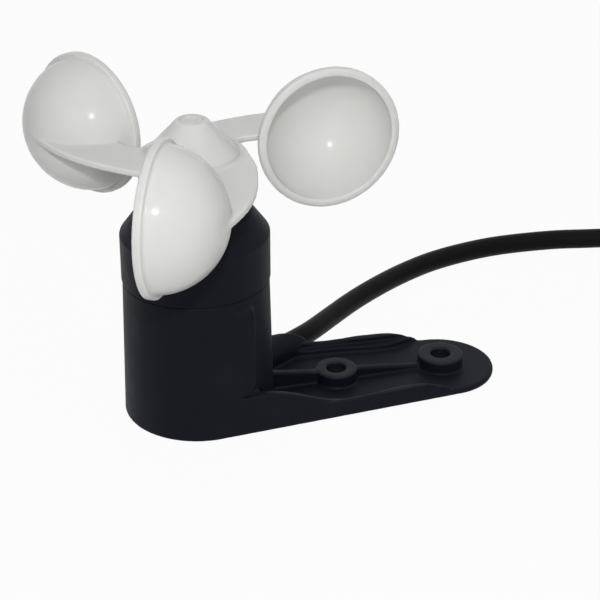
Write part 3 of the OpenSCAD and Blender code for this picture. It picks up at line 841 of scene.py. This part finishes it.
drawn.between((0.66, 0.8, 0.73, 1), (0.74, 0.85, 0.79, 1)).into(shader.inputs["Base Color"])
(0.04 + drawn * 0.05).into(shader.inputs["Roughness"])
shader.inputs["Transmission Weight"].default_value = 0.7
dressed(reed_glass, "reed_switch")


# The cap: the housing's upper half, turned in shape, with a sloping roof, a drip ring and the
# bearing tube in its middle, in the base's black plastic. Three screws from below hold it on the
# base, with a seal ring on its spigot.
def rounded(corners, steps=5):
    """A closed outline of (radius, height, fillet) corners, as points with the fillets drawn in."""
    line = []
    n = len(corners)
    for i in range(n):
        here = np.array(corners[i][:2], float)
        back = np.array(corners[i - 1][:2], float) - here
        on = np.array(corners[(i + 1) % n][:2], float) - here
        fillet = corners[i][2] if len(corners[i]) > 2 else 0
        if fillet <= 0:
            line.append(here)
            continue
        lb, lo = np.linalg.norm(back), np.linalg.norm(on)
        back, on = back / lb, on / lo
        half = math.acos(max(-1, min(1, float(back @ on)))) / 2
        cut = min(fillet / math.tan(half), 0.45 * lb, 0.45 * lo)
        size = cut * math.tan(half)
        middle = here + (back + on) / np.linalg.norm(back + on) * (size / math.sin(half))
        first = here + back * cut - middle
        last = here + on * cut - middle
        sweep = math.pi - 2 * half
        line.append(here + back * (cut + min(0.25, 0.1 * lb)))
        for k in range(steps + 1):
            t = k / steps
            spoke = first * math.sin((1 - t) * sweep) + last * math.sin(t * sweep)
            line.append(middle + spoke / math.sin(sweep))
        line.append(here + on * (cut + min(0.25, 0.1 * lo)))
    return line


def turned(name, outline, around=192):
    """An outline of (radius, height) points in millimetres, spun into a closed mesh."""
    made = bmesh.new()
    rings = []
    for r, z in outline:
        if r < 1e-6:
            rings.append([made.verts.new((0, 0, z / 1000))])
        else:
            ring = []
            for k in range(around):
                a = 2 * math.pi * k / around
                spot = (r * math.cos(a) / 1000, r * math.sin(a) / 1000, z / 1000)
                ring.append(made.verts.new(spot))
            rings.append(ring)
    for one, two in zip(rings, rings[1:] + rings[:1]):
        if len(one) == 1 and len(two) == 1:
            continue
        for k in range(around):
            m = (k + 1) % around
            corners = [one[k % len(one)], one[m % len(one)], two[m % len(two)], two[k % len(two)]]
            made.faces.new(list(dict.fromkeys(corners)))
    bmesh.ops.recalc_face_normals(made, faces=made.faces[:])
    mesh = bpy.data.meshes.new(name)
    made.to_mesh(mesh)
    made.free()
    mesh.polygons.foreach_set("use_smooth", np.ones(len(mesh.polygons), bool))
    piece = bpy.data.objects.new(name, mesh)
    bpy.context.scene.collection.objects.link(piece)
    return piece


cap = turned("cap_moulding", rounded([
    (22.5, 45.15, 0.3), (22.5, 59.7, 1.2), (17.2, 66.86, 0.8), (14.6, 66.86, 0.5),
    (14.3, 71.5, 0.5), (13.1, 71.5, 0.5), (12.8, 66.86, 0.5), (8.2, 66.86, 0.5), (8.2, 76, 0.4),
    (5.51, 76, 0.2), (5.51, 71, 0.2), (4.4, 71, 0.2), (4.4, 55, 0.2), (5.51, 55, 0.2),
    (5.51, 49, 0.2), (8.2, 49, 0.4), (8.2, 64.66, 0.6), (14.8, 64.66, 0.6), (18.15, 58.7, 0.8),
    (18.15, 42, 0.3), (19.95, 42, 0.4), (19.95, 45.15, 0.2),
]))
cap.data.materials.append(grained("cap_black", satin_deep, satin_pale, 0.5, 0.09))
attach(cap, "housing")
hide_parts("top_cap")
dressed(grained("seal_silicone", (0.32, 0.085, 0.036, 1), (0.44, 0.12, 0.05, 1), 0.5, 0.3),
        "cap_seal")


# The bearings: two ball races in the cap's tube, the lower against a step and the upper under a
# spring clip. Seven balls to each race roll in a pressed brass cage, and go round slower than the
# rotor.
wire, given = open_tree("ball_maker", ("Pitch Radius", "Ball Radius"))
track = wire.node("GeometryNodeMeshCircle", None, {
    "Vertices": 7, "Radius": given["Pitch Radius"]})
races = wire.node("GeometryNodeInstanceOnPoints", None, {
    "Points": given["Places"], "Instance": track, "Scale": to_metres})
seats = wire.node("GeometryNodeRealizeInstances", None, {0: races})
ball = wire.node("GeometryNodeMeshIcoSphere", None, {
    "Radius": given["Ball Radius"], "Subdivisions": 4})
seated = wire.node("GeometryNodeInstanceOnPoints", None, {
    "Points": seats, "Instance": ball, "Scale": to_metres})
ball_maker = close_tree(wire, seated, given["Finish"])
race_steel = machined("race_steel", (0.42, 0.42, 0.42, 1), (0.62, 0.625, 0.63, 1), 0.14)
race_ups = (53, 73)
balls = grown("ball_rows", ball_maker, [(0, 0, up) for up in race_ups], {
    "Pitch Radius": 3.75, "Ball Radius": 0.75, "Finish": race_steel})
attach(balls, "ball_set")
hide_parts("bearing_balls")
dressed(race_steel, "bearing_outer_rings", "bearing_inner_rings")
dressed(machined("cage_brass", (0.34, 0.22, 0.08, 1), (0.56, 0.4, 0.16, 1), 0.28), "ball_cages")
dressed(machined("clip_spring_steel", (0.16, 0.16, 0.17, 1), (0.29, 0.29, 0.31, 1), 0.32),
        "bearing_clip", "spindle_circlip")


# The spindle: a turned steel pin that the inner races sit on, with a spacer between them, a circlip
# below and a nut on top. Its lower end carries two magnets past the reed switch in a nylon disc,
# and a brass insert holds the hub on its upper end.
dressed(machined("spindle_steel", (0.4, 0.4, 0.4, 1), (0.6, 0.6, 0.6, 1), 0.2),
        "spindle", "spindle_spacer", "spindle_nut")
dressed(grained("carrier_nylon", (0.4, 0.4, 0.38, 1), (0.5, 0.5, 0.47, 1), 0.42, 0.4),
        "magnet_carrier")
dressed(machined("magnet_plating", (0.36, 0.35, 0.33, 1), (0.56, 0.55, 0.52, 1), 0.18), "magnets")
dressed(machined("insert_brass", (0.36, 0.24, 0.09, 1), (0.6, 0.44, 0.18, 1), 0.24), "hub_insert")


# The rotor's skirt: a short tube in gloss white plastic under the arms, which hangs over the cap's
# drip ring. Its flange carries the three arms, and screws from below hold the stack together.
def gloss_white(name):
    """White plastic, polished in the tool: a smooth gloss with a faint flow pattern and rubs."""
    finish, shader, wire = open_finish(name)
    place = wire.node("ShaderNodeTexCoord", take="Object")
    flow = place.noise(38.0, 2.0, distortion=0.6)
    rubs = place.noise(420.0, 3.0, 0.6)
    tone = flow.above(0.25, 0.75).between((0.745, 0.75, 0.735, 1), (0.725, 0.73, 0.715, 1))
    tone.into(shader.inputs["Base Color"])
    (0.19 + rubs * 0.012 + flow * 0.02).into(shader.inputs["Roughness"])
    shader.inputs["Specular IOR Level"].default_value = 0.12
    shader.inputs["Subsurface Weight"].default_value = 0.6
    shader.inputs["Subsurface Radius"].default_value = (1.0, 1.0, 0.9)
    shader.inputs["Subsurface Scale"].default_value = 0.002
    bump = {"Strength": 0.03, "Distance": 0.0002, "Height": flow}
    wire.node("ShaderNodeBump", None, bump).into(shader.inputs["Normal"])
    return finish


skirt = turned("hub_skirt_moulding", rounded([
    (4.52, 79.5, 0.2), (14.8, 79.5, 0.6), (15.2, 78.5, 0.6), (15.2, 68.1, 0.3), (16.1, 68.1, 0.4),
    (16.1, 82.4, 0.4), (4.52, 82.4, 0.2),
]))
skirt.data.materials.append(gloss_white("skirt_white"))
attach(skirt, "rotor")
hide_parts("hub_skirt")


# The cups: each a thin half ball with a bead round its mouth, in gloss white plastic, moulded in
# one with the broad flat arm that carries it. The arm's root is clamped between skirt and cone.
arm_long = 42.8
arm_up = 83.45
arm_half = 0.95
cup_up = 83.25
cup_out_r = 20.9
cup_in_r = 19.7
mouth_y = 1.0
bead_r = 20.7
bead_y = 1.2
bead_half = (1.0, 0.8)
bead_round = 0.4
root_out = 0.08
root_in = 1.3
root_top = 89
arm_outline = [
    (0.3, 6.3), (13.2, 6.3), (15.2, 6.9), (16.6, 7.9), (18.2, 8.4), (34.8, 8.4), (34.8, 19.6),
    (44, 20.5), (47.5, 20.6), (47, 21.2), (42, 22.5), (39, 23.15), (36, 23.7), (33, 24.1),
    (30, 24.35), (26, 24.4), (22, 24.1), (18, 23.55), (14, 22.8), (9.3, 21.6), (5, 20.3),
    (2.5, 19.3), (-1.1, 17.45), (-4.5, 15.6), (-8, 13.86), (-10.8, 11.8), (-13.3, 9.2),
    (-11.9, 8.2),
]
cone_side = [(0, 84.3), (14.5, 84.2), (14.4, 84.6), (4.9, 94.9), (0, 95.4)]


def from_outline(px, py, outline):
    """Distance from a closed outline, less than nought inside it."""
    corners = np.array(outline, float)
    near = np.full(px.shape, 1e9)
    flip = np.ones(px.shape)
    last = corners[-1]
    for here in corners:
        ex, ey = last[0] - here[0], last[1] - here[1]
        wx, wy = px - here[0], py - here[1]
        t = np.clip((wx * ex + wy * ey) / (ex * ex + ey * ey), 0, 1)
        near = np.minimum(near, (wx - ex * t) ** 2 + (wy - ey * t) ** 2)
        above = py >= here[1]
        below = py < last[1]
        left = ex * wy > ey * wx
        turn = (above & below & left) | (~above & ~below & ~left)
        flip = np.where(turn, -flip, flip)
        last = here
    return flip * np.sqrt(near)


def arm_shape(x, y, z):
    cx, cy, cz = x - arm_long, y - mouth_y, z - cup_up
    ball = np.sqrt(cx * cx + cy * cy + cz * cz)
    shell = soft_most(ball - cup_out_r, -cy, 0.3)
    bead = round_corner(np.abs(np.hypot(cx, cz) - bead_r) - bead_half[0],
                        np.abs(cy - bead_y) - bead_half[1], bead_round)
    cup = soft_least(shell, bead, 0.7)
    plan = from_outline(x, y, arm_outline) - 0.2
    arm = soft_most(plan, np.abs(z - arm_up) - arm_half, 0.3)
    cone = from_outline(np.hypot(x, y), z, cone_side)
    root = soft_most(soft_least(arm, cone + root_out, 1.4), -(cone + root_in), 0.2)
    root = soft_most(soft_most(root, plan, 0.3), z - root_top, 0.4)
    whole = np.minimum(soft_least(cup, arm, 0.6), root)
    return soft_most(whole, -(ball - cup_in_r), 0.3)


arm_piece = moulding(
    "cup_arm_moulding", arm_shape, low=(-15, -1, 60), high=(66, 27, 107), step=0.46)
arm_white = gloss_white("arm_white")
for number, turn in enumerate(arm_turns, 1):
    mesh = arm_piece.data.copy()
    mesh.transform(Matrix.Rotation(math.radians(turn), 4, "Z"))
    mesh.update()
    mesh.materials.append(arm_white)
    cup_arm = bpy.data.objects.new(f"cup_arm_{number}_moulding", mesh)
    bpy.context.scene.collection.objects.link(cup_arm)
    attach(cup_arm, "rotor")
    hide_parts(f"cup_arm_{number}")
bpy.data.objects.remove(arm_piece)


# The cone: the hub's upper half, in the same gloss white plastic. It sits on the arms' roots, takes
# the three hub screws from below, and closes over the spindle's nut.
cone = turned("hub_cone_moulding", rounded([
    (4.52, 84.4, 0.2), (14.6, 84.4, 0.1), (14.4, 84.6, 0.1), (4.75, 95.1, 1.0), (3.3, 95.45, 0.25),
    (3.3, 92.5, 0.2), (3.6, 92.5, 0.1), (3.6, 87.5, 0.2), (4.52, 87.5, 0.2),
]))
cone.data.materials.append(gloss_white("cone_white"))
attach(cone, "rotor")
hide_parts("hub_cone")


# The plug: a small disc with a thumb dimple, moulded in the same white plastic. It is pressed into
# the cone's top last, over the nut.
plug = turned("hub_plug_moulding", rounded([
    (0, 93.1), (3.25, 93.1, 0.2), (3.25, 95.4, 0.3), (2.1, 95.4, 0.3), (1.5, 95.05, 0.5),
    (0, 94.85),
]), around=96)
plug.data.materials.append(gloss_white("plug_white"))
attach(plug, "rotor")
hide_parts("hub_plug")
